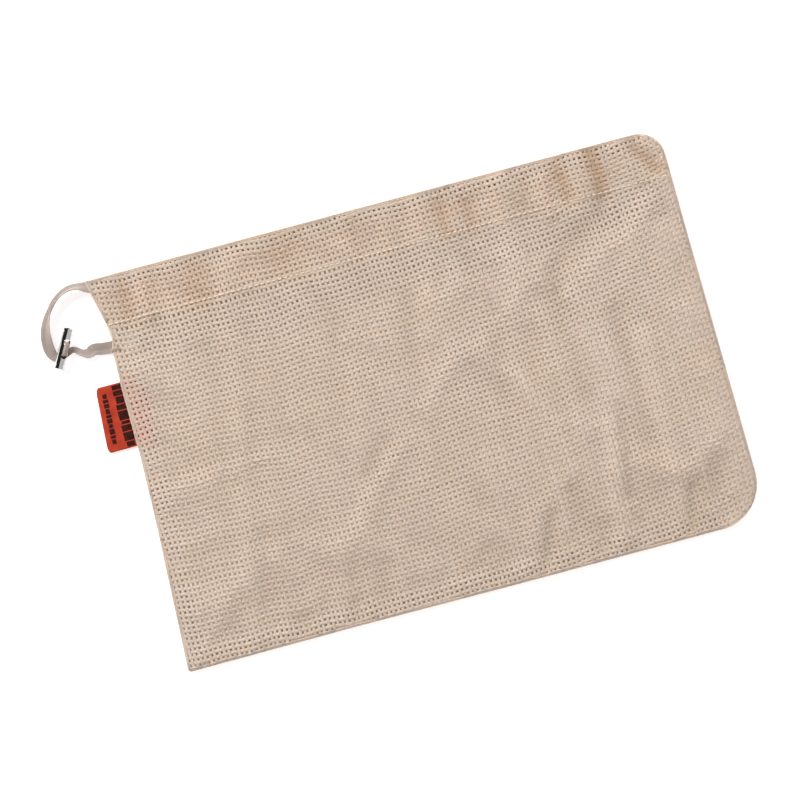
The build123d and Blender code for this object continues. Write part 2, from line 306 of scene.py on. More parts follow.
def kept_under(heights, points, tape_y, tape_z):
    """Heights lowered where they would rub on the tape above."""
    return heights - channel(points, tape_y) * np.maximum(heights - tape_z + TAPE_ROOM, 0)


def front_height(points):
    """Height of the front panel's middle surface over plan points."""
    seam = chain_distance(SEAM_CHAIN, points)
    fold = chain_distance(FOLD_CHAIN, points)
    from_seam = rolled(seam, SEAM_MID, 2.9, 1.8) + (FRONT_Z - 2.9) * smooth(seam, 0, 46)
    from_fold = rolled(fold, FOLD_MID, 4.6, 3.0) + (FRONT_Z - 4.6) * smooth(fold, 0, 12)
    slit = 1.1 * (1 - smooth(chain_distance(np.array(SLIT_EDGE), points), 0, 22))
    level = np.minimum(np.minimum(from_seam, from_fold), FRONT_Z - slit)
    fade = smooth(np.minimum(seam, fold), 0.4, 7)
    level += fade * (fold_height(points) + ripple_height(points) + draped(points)[:, 2])
    return kept_over(level, points, FRONT_TAPE_Y, FRONT_TAPE_Z)


def back_height(points):
    """Height of the back panel's middle surface, on the table."""
    seam = chain_distance(SEAM_CHAIN, points)
    fold = chain_distance(FOLD_CHAIN, points)
    away = np.minimum(seam, fold)
    level = rolled(away, np.where(fold < seam, FOLD_MID, SEAM_MID), BACK_Z, 1.6)
    ripple = 0.25 * (1 + np.sin(points[:, 0] / 9.0 + np.sin(points[:, 1] / 14.0))) * smooth(away, 3, 12)
    return kept_under(level + ripple, points, BACK_TAPE_Y, BACK_TAPE_Z)


def channel_gap(points, tape_y):
    """Space between a hem's two layers: wider round the tape."""
    return 0.75 + 0.85 * np.exp(-(((points[:, 1] - tape_y) / 5.5) ** 2))


def front_facing_height(points):
    """Height of the front hem's inner layer."""
    return kept_under(front_height(points) - channel_gap(points, FRONT_TAPE_Y), points, FRONT_TAPE_Y, FRONT_TAPE_Z)


def back_facing_height(points):
    """Height of the back hem's inner layer."""
    return kept_over(back_height(points) + channel_gap(points, BACK_TAPE_Y), points, BACK_TAPE_Y, BACK_TAPE_Z)


def simulate_drape():
    """Cloth simulation of the front panel: held at its edges and a little too large, it settles.

    It starts from the folds above and runs ten times life size, where the solver is steady.
    """
    size = 10 * MM
    grid = np.array([(x, y) for x in DRAPE_XS for y in DRAPE_YS])
    away = signed_distance(OUTLINE, grid)
    used = away > -0.5
    number = np.full(len(grid), -1)
    number[used] = np.arange(used.sum())
    number = number.reshape(len(DRAPE_XS), len(DRAPE_YS))
    corners = np.stack([number[:-1, :-1], number[1:, :-1], number[1:, 1:], number[:-1, 1:]], axis=-1).reshape(-1, 4)
    faces = corners[(corners >= 0).all(axis=1)]
    start = np.column_stack([grid[used], front_height(grid[used])])
    mesh = bpy.data.meshes.new("drape")
    mesh.from_pydata((start * size).tolist(), [], faces.tolist())
    cloth = bpy.data.objects.new("drape", mesh)
    bpy.context.scene.collection.objects.link(cloth)
    held = cloth.vertex_groups.new(name="held")
    for index, distance in enumerate(away[used]):
        held.add([index], float(1 - smooth(distance, 4, 11)), "REPLACE")
    bpy.ops.mesh.primitive_plane_add(size=8, location=(0, 0, 2.2 * size))
    table = bpy.context.object
    table.modifiers.new("stop", "COLLISION")
    table.collision.thickness_outer = 0.002
    solver = cloth.modifiers.new("cloth", "CLOTH")
    settings = solver.settings
    settings.quality = 6
    settings.mass = 0.15
    settings.tension_stiffness = settings.compression_stiffness = 12
    settings.shear_stiffness = 3
    settings.bending_stiffness = 0.4
    settings.air_damping = 2.0
    settings.vertex_group_mass = held.name
    settings.shrink_min = DRAPE_GROWTH
    settings.effector_weights.gravity = 0.12
    solver.collision_settings.distance_min = 0.003
    solver.point_cache.frame_end = DRAPE_FRAMES
    for frame in range(1, DRAPE_FRAMES + 1):
        bpy.context.scene.frame_set(frame)
    settled = cloth.evaluated_get(bpy.context.evaluated_depsgraph_get()).to_mesh()
    ended = np.array([vertex.co[:] for vertex in settled.vertices]) / size
    shift = np.zeros((len(grid), 3))
    shift[used] = DRAPE_SHARE * np.clip(ended - start, -DRAPE_CAP, DRAPE_CAP)
    bpy.data.objects.remove(cloth)
    bpy.data.objects.remove(table)
    bpy.context.scene.frame_set(1)
    return shift.reshape(drape_shift.shape)


DRAPE_GROWTH = -0.012
DRAPE_FRAMES = 24
DRAPE_CAP = 2.0  # millimetres along each axis
DRAPE_SHARE = 0.7  # of the capped movement, chosen for the look
drape_shift = simulate_drape()


# ------------ lie of the threads
def lean(y):
    """How far a warp thread has moved towards -X by the height y."""
    rise = y + 45
    return 0.0375 * (np.sqrt(rise * rise + 900) + rise)


def bow(x, y):
    """How far a weft thread has risen by the place x."""
    hem = 1 - 0.3 * smooth(y, 60, 95)
    return hem * (0.052 * x + 0.00029 * x * x)


def weave_lines(polygon, phase=(0.0, 0.0), drape=0.0):
    """Warp and weft lines in the plan, each with its crossing points, clipped to the polygon.

    Every line is (points, over), where over is +1 or -1 at each crossing and 0 at a cut end.
    """
    low = polygon.min(axis=0) - WEAVE_PAST
    high = polygon.max(axis=0) + WEAVE_PAST
    xs = np.arange(low[0] + phase[0], high[0], WARP_PITCH)
    ys = np.arange(low[1] + phase[1], high[1], WEFT_PITCH)
    xs = xs + rng.normal(0, SPACING_SLIP, len(xs))
    ys = ys + rng.normal(0, SPACING_SLIP, len(ys))
    grid_x, grid_y = np.meshgrid(xs, ys, indexing="ij")
    plan = np.stack([grid_x - lean(grid_y), grid_y + bow(grid_x, grid_y)], axis=-1)
    flat = plan.reshape(-1, 2)
    plan = (flat + wander(flat) + bunching(flat) + drape * draped(flat)[:, :2]).reshape(plan.shape)
    plan += rng.normal(0, CROSSING_SLIP, plan.shape)
    away = signed_distance(polygon, plan.reshape(-1, 2)).reshape(grid_x.shape) - 0.8
    over = np.where((np.add.outer(np.arange(len(xs)), np.arange(len(ys))) % 2) == 0, 1.0, -1.0)
    warps = [run for i in range(len(xs)) for run in clip_line(plan[i], away[i], over[i])]
    wefts = [run for j in range(len(ys)) for run in clip_line(plan[:, j], away[:, j], -over[:, j])]
    return warps, wefts


def clip_line(points, away, over):
    """The stretches of a line inside its outline, each ended on the outline itself."""
    kept = np.append(np.append(False, away > 0), False)
    starts = np.flatnonzero(~kept[:-1] & kept[1:])
    ends = np.flatnonzero(kept[:-1] & ~kept[1:]) - 1
    runs = []
    for first, last in zip(starts, ends):
        line = points[first : last + 1]
        height = over[first : last + 1]
        if first > 0:
            share = away[first] / (away[first] - away[first - 1])
            line = np.vstack([points[first] + (points[first - 1] - points[first]) * share, line])
            height = np.append(0.0, height)
        if last + 1 < len(points):
            share = away[last] / (away[last] - away[last + 1])
            line = np.vstack([line, points[last] + (points[last + 1] - points[last]) * share])
            height = np.append(height, 0.0)
        if len(line) > 2:
            runs.append((line, height))
    return runs


# ------------ mesh building
def new_piece(name, points, faces, material):
    """A smooth object in the scene, its points given in millimetres."""
    mesh = bpy.data.meshes.new(name)
    mesh.from_pydata((points * MM).tolist(), [], faces)
    mesh.update()
    mesh.polygons.foreach_set("use_smooth", [True] * len(mesh.polygons))
    mesh.materials.append(material)
    piece = bpy.data.objects.new(name, mesh)
    bpy.context.scene.collection.objects.link(piece)
    return piece


def assign(piece, body, slot, *replaced):
    """The body a piece rides on and the nodes it stands for; the slot is not used."""
    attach(piece, body)
    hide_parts(*replaced)
    return piece


class Strands:
    """Collects capped tubes of any cross-section into one mesh."""

    def __init__(self):
        self.points = []
        self.rises = []
        self.faces = []
        self.count = 0

    def add(self, centres, ups, section):
        """A tube along centres; section is (sideways, upwards) offsets, anticlockwise."""
        tangents = unit(np.gradient(centres, axis=0))
        sides = unit(np.cross(tangents, ups))
        tops = np.cross(sides, tangents)
        rings = len(centres)
        section = np.asarray(section, float)
        if section.ndim == 2:
            section = np.broadcast_to(section, (rings,) + section.shape)
        size = section.shape[1]
        ring = centres[:, None, :] + sides[:, None, :] * section[:, :, :1] + tops[:, None, :] * section[:, :, 1:]
        self.points.append(ring.reshape(-1, 3))
        self.rises.append(np.sign(section[:, :, 1]).ravel())
        start = self.count + np.arange(rings - 1)[:, None] * size
        a = start + np.arange(size)[None, :]
        b = start + (np.arange(size)[None, :] + 1) % size
        quads = np.stack([a, b, b + size, a + size], axis=-1).reshape(-1, 4)
        self.faces.extend(quads.tolist())
        self.faces.append([self.count + k for k in reversed(range(size))])
        self.faces.append([self.count + (rings - 1) * size + k for k in range(size)])
        self.count += rings * size

    def piece(self, name, material, shades=None, inside=0):
        """The collected tubes as one Blender object, with the values its material reads."""
        points = np.vstack(self.points)
        piece = new_piece(name, points, self.faces, material)
        values = {label: shade(points[:, :2]) for label, shade in (shades or {}).items()}
        if inside:
            values["inside"] = np.clip(np.concatenate(self.rises) * inside, 0, 1)
        for label, value in values.items():
            layer = piece.data.attributes.new(label, "FLOAT", "POINT")
            layer.data.foreach_set("value", value.astype(np.float32))
        return piece


def lens(half, sides=4):
    """A thread's cross-section: half = (half width, half thickness)."""
    angles = np.arange(sides) * 2 * math.pi / sides
    return np.stack([np.cos(angles) * half[0], np.sin(angles) * half[1]], axis=-1)


def soft_lens(half):
    """A pressed, loosely spun thread: nearly flat above and below."""
    wide, thick = half
    flat = wide * 0.62
    return np.array([(wide, 0), (flat, thick), (-flat, thick), (-wide, 0), (-flat, -thick), (flat, -thick)])


def surface_normals(plan, height):
    """Upward normals of a height field at plan points."""
    dx, dy = slopes(height, plan, 0.4)
    return unit(np.stack([-dx, -dy, np.ones(len(plan))], axis=-1))


def lay_threads(strands, lines, height, half):
    """Lay clipped plan lines on a height field as woven threads."""
    for plan, over in lines:
        centre = np.column_stack([plan, height(plan)])
        normal = surface_normals(plan, height)
        centre = centre + normal * (over * WEAVE)[:, None]
        strands.add(centre, normal, soft_lens(half))


def edge_threads(strands, chain, height):
    """Threads drawn together along a folded or sewn edge, which keep it smooth."""
    for inset in (0.35, 1.2):
        plan = even_plan(chain, 1.25)
        plan = plan + inward(plan) * inset
        normal = surface_normals(plan, height)
        wave = 0.1 * np.cos(np.arange(len(plan)) * math.pi + inset)
        centre = np.column_stack([plan, height(plan)]) + normal * wave[:, None]
        strands.add(centre, normal, lens((0.5, 0.27), 6))


def resampled(points, spacing):
    """Points on a line at the distances that spacing makes from its whole length."""
    length = np.append(0, np.cumsum(np.linalg.norm(np.diff(points, axis=0), axis=1)))
    places = spacing(length[-1])
    return np.column_stack([np.interp(places, length, values) for values in points.T])


def even_plan(chain, step):
    """Plan points along a chain, exactly a step apart."""
    return resampled(np.array(chain, float), lambda whole: np.arange(0, whole, step))


def leaf(level):
    """A flat layer at one height."""
    return lambda points: np.full(len(points), float(level))


# ------------ materials
def material(name, base, roughness, sheen=0.0, metallic=0.0, translucent=0.0):
    """A new node material with its constant values on the shader's own sockets."""
    made = bpy.data.materials.new(name)
    made.use_nodes = True
    tree = made.node_tree
    shader = tree.nodes["Principled BSDF"]
    shader.inputs["Base Color"].default_value = (*base, 1)
    shader.inputs["Roughness"].default_value = roughness
    shader.inputs["Metallic"].default_value = metallic
    shader.inputs["Sheen Weight"].default_value = sheen
    shader.inputs["Sheen Roughness"].default_value = 0.5
    if metallic == 0:
        shader.inputs["Subsurface Weight"].default_value = translucent
        shader.inputs["Subsurface Radius"].default_value = (1.0, 0.8, 0.62)
        shader.inputs["Subsurface Scale"].default_value = 0.0011
    shader.inputs["Specular IOR Level"].default_value = 0.2 if metallic == 0 else 0.5
    return made, tree, shader


def node(tree, kind, **values):
    """A shader node with some of its inputs or settings filled in."""
    made = tree.nodes.new(kind)
    for key, value in values.items():
        if key in made.inputs:
            made.inputs[key].default_value = value
        else:
            setattr(made, key, value)
    return made


def noise(tree, scale, detail, roughness=0.5):
    """Noise over the object's own coordinates."""
    made = node(tree, "ShaderNodeTexNoise", Scale=scale, Detail=detail, Roughness=roughness)
    place = tree.nodes.new("ShaderNodeTexCoord")
    tree.links.new(place.outputs["Object"], made.inputs["Vector"])
    return made.outputs["Fac"]


def ramp(tree, value, low, high):
    """A colour ramp between two stops, each a place and a colour."""
    made = node(tree, "ShaderNodeValToRGB")
    for element, (place, colour) in zip(made.color_ramp.elements, (low, high)):
        element.position = place
        element.color = (*colour, 1)
    tree.links.new(value, made.inputs["Fac"])
    return made.outputs["Color"]


def spread(tree, value, given, wanted):
    """A value mapped from the given range to the wanted one."""
    made = node(tree, "ShaderNodeMapRange")
    for label, number in zip(("From Min", "From Max", "To Min", "To Max"), given + wanted):
        made.inputs[label].default_value = number
    tree.links.new(value, made.inputs["Value"])
    return made.outputs["Result"]


def mixed(tree, share, under, over):
    """The under colour, with the over one mixed in by a share."""
    made = node(tree, "ShaderNodeMix", data_type="RGBA", blend_type="MIX")
    tree.links.new(share, made.inputs["Factor"])
    tree.links.new(under, made.inputs["A"])
    made.inputs["B"].default_value = (*over, 1)
    return made.outputs["Result"]


def relief(tree, shader, value, strength, depth):
    """Fine bumps on a shader."""
    made = node(tree, "ShaderNodeBump", Strength=strength, Distance=depth)
    tree.links.new(value, made.inputs["Height"])
    tree.links.new(made.outputs["Normal"], shader.inputs["Normal"])


# painted warm shade in the fold valleys and where the cloth lies double
CREASE_SHADE_BROWN = (0.56, 0.33, 0.17)
# painted grey shade in the fold valleys
VALLEY_SHADE_GREY = (0.34, 0.27, 0.21)
# painted red light bounced from the label, with its sewn end showing through
LABEL_RED_BOUNCE_AND_SHOW = (0.62, 0.30, 0.25)
INNER_GLOW = (0.94, 0.82, 0.70)


def cotton(name, pale, dark, warm, fibre=2600.0):
    """Unbleached cotton: twisted fibres, slubs and slow changes of shade.

    The faces that look into the bag take the glow colour, for the light real yarn lets through.
    """
    made, tree, shader = material(name, pale, 0.92, sheen=0.2, translucent=0.5)
    fibres = noise(tree, fibre, 3.0, 0.6)
    colour = ramp(tree, fibres, (0.3, dark), (0.62, pale))
    for scale, detail, low, most in ((210.0, 2.0, 0.48, 0.5), (22.0, 3.0, 0.45, 0.55)):
        share = spread(tree, noise(tree, scale, detail), (low, 0.75), (0.0, most))
        colour = mixed(tree, share, colour, warm)
    # the point values mix in painted warm shade, painted grey shade, painted red bounce light and a painted inner
    # glow
    marks = (("warm_shade", CREASE_SHADE_BROWN), ("shade", VALLEY_SHADE_GREY), ("label_red_bounce_and_show", LABEL_RED_BOUNCE_AND_SHOW), ("inside", INNER_GLOW))
    for label, over in marks:
        share = node(tree, "ShaderNodeAttribute", attribute_name=label).outputs["Fac"]
        colour = mixed(tree, share, colour, over)
    tree.links.new(colour, shader.inputs["Base Color"])
    relief(tree, shader, fibres, 0.3, 0.00012)
    return made


def ribbon_red():
    """Woven label ribbon: fine cross ribs and slow changes of shade."""
    made, tree, shader = material("label_ribbon", (0.37, 0.034, 0.013), 0.75)
    colour = ramp(tree, noise(tree, 160.0, 3.0), (0.3, (0.35, 0.028, 0.011)), (0.7, (0.49, 0.049, 0.019)))
    tree.links.new(colour, shader.inputs["Base Color"])
    ribs = node(tree, "ShaderNodeTexWave", Scale=950.0, Distortion=0.6, Detail=1.0)
    ribs.bands_direction = "Y"
    place = tree.nodes.new("ShaderNodeTexCoord")
    tree.links.new(place.outputs["Object"], ribs.inputs["Vector"])
    relief(tree, shader, ribs.outputs["Fac"], 0.25, 0.00006)
    return made


def print_ink():
    """Dark woven marks on the label."""
    made, tree, shader = material("label_print", (0.03, 0.006, 0.004), 0.85)
    colour = ramp(tree, noise(tree, 700.0, 3.0), (0.35, (0.016, 0.003, 0.002)), (0.75, (0.07, 0.008, 0.004)))
    tree.links.new(colour, shader.inputs["Base Color"])
    return made


def lock_plating():
    """Polished nickel with faint handling marks."""
    made, tree, shader = material("lock_metal", (0.66, 0.645, 0.62), 0.16, metallic=1.0)
    marks = noise(tree, 900.0, 4.0)
    tree.links.new(spread(tree, marks, (0.0, 1.0), (0.04, 0.12)), shader.inputs["Roughness"])
    relief(tree, shader, marks, 0.04, 0.00004)
    return made


MESH_COTTON = cotton("cotton_mesh", (0.77, 0.60, 0.49), (0.665, 0.505, 0.40), (0.72, 0.535, 0.41))
# a darker, warmer copy of the mesh cotton for the doubled hem and seam layers: painted shade
SHADED_HEM_COTTON = cotton("cotton_mesh_hem_shaded", (0.77, 0.55, 0.38), (0.66, 0.44, 0.285), (0.71, 0.47, 0.29))
TAPE_COTTON = cotton("cotton_tape", (0.43, 0.36, 0.325), (0.31, 0.255, 0.225), (0.39, 0.325, 0.28), fibre=3200.0)
THREAD = cotton("seam_thread", (0.80, 0.65, 0.53), (0.70, 0.55, 0.43), (0.74, 0.57, 0.43), fibre=3600.0)
RED = ribbon_red()
INK = print_ink()
PLATING = lock_plating()


# ------------ camera, world and light
VIEW_ROLL = -15.0
VIEW_CENTRE = (-0.00751, 0.00333, 0.004)
VIEW_WIDTH = 0.4112
VIEW_AWAY = 1.5
SENSOR = 36.0


def set_camera():
    """Straight down on the bag, which lies turned by the roll."""
    camera = bpy.data.cameras.new("camera")
    camera.sensor_width = SENSOR
    camera.lens = SENSOR * VIEW_AWAY / VIEW_WIDTH
    holder = bpy.data.objects.new("camera", camera)
    holder.location = Vector(VIEW_CENTRE) + Vector((0, 0, VIEW_AWAY))
    holder.rotation_euler = (0, 0, math.radians(VIEW_ROLL))
    bpy.context.scene.collection.objects.link(holder)
    bpy.context.scene.camera = holder


def set_key_light():
    """A large soft light beyond the mouth's left end, aimed at the middle of the bag."""
    light = bpy.data.lights.new("key", "AREA")
    light.size = 1.5
    light.energy = 112.0
    holder = bpy.data.objects.new("key", light)
    holder.location = (-1.25, 2.1, 1.9)
    holder.rotation_euler = (-holder.location).to_track_quat("-Z", "Y").to_euler()
    bpy.context.scene.collection.objects.link(holder)


def set_world():
    """An even pale studio with a dark side, which the metal lock mirrors."""
    world = bpy.data.worlds.new("studio")
    bpy.context.scene.world = world
    world.use_nodes = True
    tree = world.node_tree
    place = tree.nodes.new("ShaderNodeTexCoord")
    towards = node(tree, "ShaderNodeVectorMath", operation="DOT_PRODUCT")
    towards.inputs[1].default_value = (-0.718, 0.393, 0.574)
    tree.links.new(place.outputs["Generated"], towards.inputs[0])
    colour = ramp(tree, towards.outputs["Value"], (0.58, (1.0, 1.0, 1.0)), (0.66, (0.03, 0.03, 0.035)))
    surroundings = tree.nodes["Background"]
    tree.links.new(colour, surroundings.inputs["Color"])
    surroundings.inputs["Strength"].default_value = 0.70


def make_floor():
    """A white lit table top, on which shadows stay faint."""
    paint, tree, shader = material("floor_paint", (0.93, 0.93, 0.93), 0.8)
    shader.inputs["Emission Color"].default_value = (1.0, 1.0, 1.0, 1)
    shader.inputs["Emission Strength"].default_value = 0.5
    bpy.ops.mesh.primitive_plane_add(size=6, location=(0, 0, 0))
    floor = bpy.context.object
    floor.name = "floor"
    floor.data.materials.append(paint)


bpy.context.scene.view_settings.view_transform = "Standard"
set_camera()
set_world()
make_floor()
set_key_light()


# ------------ drawstring
# points that guide the middle of the loop, in millimetres
LOOP_ROUTE = [
    (-142.0, 100.0, 4.4), (-147.0, 100.5, 4.4), (-152.0, 102.0, 4.4), (-157.0, 102.2, 4.2),
    (-161.8, 100.3, 4.0), (-166.4, 96.6, 3.8), (-170.8, 90.8, 3.4), (-173.8, 84.5, 3.0), (-175.2, 78.0, 2.0),
    (-174.8, 72.2, 1.2), (-172.0, 69.0, 0.6), (-167.0, 70.8, 0.5), (-162.8, 72.2, 0.6), (-159.8, 69.0, 1.2),
    (-156.0, 67.6, 2.2), (-152.8, 69.6, 2.2), (-148.6, 68.4, 1.8), (-143.0, 68.0, 1.7),
]
# along the loop: share of its length, twist in degrees, width and thickness as shares of the tape's own
LOOP_LIE = [
    (0.00, 0, 1.0, 1.0), (0.06, 8, 0.95, 1.0), (0.12, 48, 0.9, 1.1), (0.22, 52, 0.9, 1.1), (0.33, 56, 0.9, 1.1),
    (0.42, 38, 1.0, 1.0), (0.50, 14, 1.0, 1.0), (0.58, 5, 0.95, 1.0), (0.63, 0, 0.75, 1.25),
    (0.70, 0, 0.55, 1.3), (0.76, -12, 0.5, 1.5), (0.81, -28, 0.62, 1.4), (0.86, -8, 0.92, 1.1),
    (0.93, 12, 1.0, 1.0), (1.00, 0, 1.0, 1.0),
]


def route_points(route, name):
    """Points along the smooth line that a route's NURBS spline makes, in metres."""
    curve = bpy.data.curves.new(name + "_line", "CURVE")
    curve.dimensions = "3D"
    curve.resolution_u = 10
    spline = curve.splines.new("NURBS")
    spline.points.add(len(route) - 1)
    for point, place in zip(spline.points, route):
        point.co = (*place, 1)
    spline.order_u = 3
    spline.use_endpoint_u = True
    holder = bpy.data.objects.new(name + "_line", curve)
    mesh = bpy.data.meshes.new_from_object(holder)
    points = np.array([v.co[:] for v in mesh.vertices])
    bpy.data.objects.remove(holder)
    bpy.data.curves.remove(curve)
    bpy.data.meshes.remove(mesh)
    return points


def even_points(points, step):
    """The same line with its points evenly spaced from end to end, about a step apart."""
    return resampled(points, lambda whole: np.linspace(0, whole, max(8, int(whole / step))))


def tape_section(width, thickness, ribs=7, curl=0.0):
    """A flat woven tape's section: rounded edges and lengthwise ribs on both faces."""
    across = np.linspace(-1, 1, ribs * 4 + 1)
    rib = 0.07 * np.abs(np.cos(across * ribs * math.pi / 2))
    half = thickness / 2 * (np.sqrt(np.clip(1 - across**8, 0, 1)) * 0.88 + 0.02) + rib
    bend = curl * np.abs(across - 0.25)
    top = np.column_stack([across * width / 2, half + bend])[::-1]
    under = np.column_stack([across * width / 2, -half + bend])
    return np.vstack([top, under[1:-1]])


def twist(ups, tangents, degrees):
    """Turn each up direction about its tangent."""
    angles = np.radians(degrees)[:, None]
    return ups * np.cos(angles) + np.cross(tangents, ups) * np.sin(angles)


def make_loop():
    """The free loop of tape, from the front hem round to the back one."""
    line = even_points(route_points(np.array(LOOP_ROUTE) * MM, "loop"), 0.0005)
    share = np.linspace(0, 1, len(line))
    lie = np.array(LOOP_LIE)
    turn, width, thick = (np.interp(share, lie[:, 0], lie[:, k]) for k in (1, 2, 3))
    width = width * TAPE_W
    thick = thick * TAPE_T
    centres = line / MM
    ups = twist(upright(len(line)), unit(np.gradient(centres, axis=0)), turn)
    pick = 0.03 * np.sin(np.arange(len(line)) * math.pi)
    crease = np.interp(share, [0, 0.1, 0.3, 0.5, 0.62, 0.7, 1], [0, 0.8, 2.0, 1.6, 0.3, 0.8, 0.4])
    sections = np.array([tape_section(w, t + p, curl=c) for w, t, p, c in zip(width, thick, pick, crease)])
    lowest = centres[:, 2] - width / 2 * np.abs(np.sin(np.radians(turn))) - thick
    centres[:, 2] += np.clip(0.05 - lowest, 0, None)
    tape = Strands()
    tape.add(centres, ups, sections)
    piece = tape.piece("drawstring_loop_tape", TAPE_COTTON)
    return assign(piece, "drawstring", "cotton_tape", "drawstring_loop", "drawstring_lock_strand"), centres * MM


LOCK_HEADING = math.radians(241.3)
LOCK_TILT = math.radians(30)  # of the lock's cross holes from upright


def make_bight():
    """The tape's bight through the lock's two cross holes."""
    box_low, box_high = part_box("cord_lock_barrel")
    centre = (np.array(box_low) + np.array(box_high)) / 2 / MM
    axis = np.array([math.cos(LOCK_HEADING), math.sin(LOCK_HEADING), 0])
    right = np.array([-axis[1], axis[0], 0])
    hole = right * math.sin(LOCK_TILT) + np.array([0, 0, math.cos(LOCK_TILT)])
    half = [(3.4, -2.1), (3.4, 0.4), (3.3, 2.4), (1.9, 3.5)]
    bends = half + [(-along, up) for along, up in half[::-1]]
    route = [(centre + axis * along + hole * up) * MM for along, up in bends]
    line = even_points(route_points(route, "bight"), 0.0003) / MM
    across = right * math.cos(LOCK_TILT) - np.array([0, 0, math.sin(LOCK_TILT)])
    ups = unit(np.cross(np.gradient(line, axis=0), across))
    tape = Strands()
    tape.add(line, ups, tape_section(2.5, 1.1, ribs=4, curl=0.25))
    return assign(tape.piece("lock_bight_tape", TAPE_COTTON), "cord_lock", "cotton_tape", "drawstring_bight")


loop_piece, loop_line = make_loop()
bight_piece = make_bight()
barrel = frame["nodes"]["cord_lock_barrel"]
for slot in barrel.material_slots:
    slot.material = PLATING


def flat_tape(name, centres, body, node_name):
    """A stretch of the tape that lies flat."""
    tape = Strands()
    tape.add(centres, upright(len(centres)), tape_section(TAPE_W, TAPE_T))
    assign(tape.piece(name, TAPE_COTTON), body, "cotton_tape", node_name)


def make_run(name, node_name, y, z, left):
    """The tape in a hem, straight so that it can be drawn through."""
    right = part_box(node_name)[1][0] / MM
    xs = np.arange(left, right, 1.2)
    centres = np.column_stack([xs, np.full(len(xs), y), np.full(len(xs), z)])
    flat_tape(name, centres, "drawstring", node_name)


make_run("drawstring_front_tape", "drawstring_front_run", FRONT_TAPE_Y, FRONT_TAPE_Z, -145.2)
make_run("drawstring_back_tape", "drawstring_back_run", BACK_TAPE_Y, BACK_TAPE_Z, -143.0)


def make_turn():
    """The tape's crossing from the front hem to the back one inside the fold."""
    low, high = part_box("drawstring_fold_turn")
    x = (low[0] + high[0]) / 2 / MM
    ys = np.linspace(FRONT_TAPE_Y + TAPE_W / 2, BACK_TAPE_Y - TAPE_W / 2, 40)
    share = smooth(ys, BACK_TAPE_Y + 2, FRONT_TAPE_Y - 2)
    heights = BACK_TAPE_Z * (1 - share) + FRONT_TAPE_Z * share
    centres = np.column_stack([np.full(len(ys), x), ys, heights])
    flat_tape("drawstring_turn_tape", centres, "bag", "drawstring_fold_turn")


make_turn()


# ------------ mesh cloth
def below(level):
    """The part of the outline below a level."""
    kept = []
    for (x1, y1), (x2, y2) in zip(OUTLINE, np.roll(OUTLINE, -1, axis=0)):
        if y1 <= level:
            kept.append((x1, y1))
        if (y1 <= level) != (y2 <= level):
            kept.append((x1 + (x2 - x1) * (level - y1) / (y2 - y1), level))
    return np.array(kept)


def add_mouth_wrap(strands, lines, height, inner_height, mouth_y, away):
    """Carry warp threads that end on a mouth edge round into the hem's inner layer."""
    for plan, over in lines:
        end = plan[-1]
        if abs(end[1] - mouth_y) > 1.2:
            continue
        spot = end[None, :]
        z = height(spot)[0]
        radius = abs(z - inner_height(spot)[0]) / 2
        angles = np.linspace(0, math.pi, 6)
        centres = np.column_stack([
            np.full(6, end[0]),
            mouth_y - 0.6 + 0.4 * np.sin(angles),
            z - away * radius * (1 - np.cos(angles)),
        ])
        ups = np.column_stack([np.zeros(6), np.sin(angles), away * np.cos(angles)])
        strands.add(centres, ups, lens(WARP_HALF))


def in_hem(points):
    """1 in the front hem, 0 below it."""
    return smooth(points[:, 1], STITCH_Y - 1.5, STITCH_Y + 0.5)


def over_seam(points, reach):
    """1 over the seam allowances, 0 by a reach past them."""
    return 1 - smooth(chain_distance(SEAM_CHAIN, points), SEAM_W - 2, SEAM_W + reach)


def painted_warm_shade(points):
    """Painted warm shade: warmer and darker where the cloth dips into a fold, and where it lies double."""
    double = in_hem(points)
    crease = np.clip(-fold_height(points) / 3.8, 0, 0.7) * (0.15 + 0.85 * double)
    return crease + 0.12 * double + 0.05 * over_seam(points, 1)


def crease_shade(points):
    """Painted shade: greyer in the valleys, clearer on the ridges, and less of it over the seam allowances and in the
    hem.
    """
    clear = 0.13 * over_seam(points, 6) + 0.1 * in_hem(points)
    return np.clip(0.15 - 0.09 * fold_height(points) - clear, 0, 0.36)


def label_red_bounce_and_show(points):
    """Painted red light bounced from the label, and the red of its sewn end showing through the mesh round it."""
    x = (points[:, 0] + 139.0) / 8.5
    y = (points[:, 1] - 32.5) / 18.5
    return 0.34 * np.exp(-(x**2)) * np.exp(-(y**6))


def cloth_piece(name, lines, height, replaced, edge, inside, wrap=None, cotton_kind=MESH_COTTON):
    """A woven layer: warps and wefts laid on a height field, as one piece.

    A wrap is (height of the inner layer, y of the mouth, direction) where warps go round the mouth edge.
    """
    warps, wefts = lines
    strands = Strands()
    edge_threads(strands, edge, height)
    lay_threads(strands, warps, height, WARP_HALF)
    lay_threads(strands, wefts, height, WEFT_HALF)
    if wrap:
        add_mouth_wrap(strands, warps, height, *wrap)
    # the threads carry painted warm and grey shade and painted red bounce light from the label as point values
    piece = strands.piece(name, cotton_kind, {"warm_shade": painted_warm_shade, "shade": crease_shade, "label_red_bounce_and_show": label_red_bounce_and_show}, inside)
    return assign(piece, "bag", "cotton_mesh", replaced)


front = cloth_piece(
    "front_mesh", weave_lines(OUTLINE, drape=1.0), front_height, "front_panel", closed(OUTLINE), -1,
    wrap=(front_facing_height, MOUTH_Y, 1),
)
back_outline = below(BACK_MOUTH_Y)
back = cloth_piece(
    "back_mesh", weave_lines(back_outline, phase=(1.1, 0.0)), back_height, "back_panel", closed(back_outline), 1,
    wrap=(back_facing_height, BACK_MOUTH_Y, -1),
)


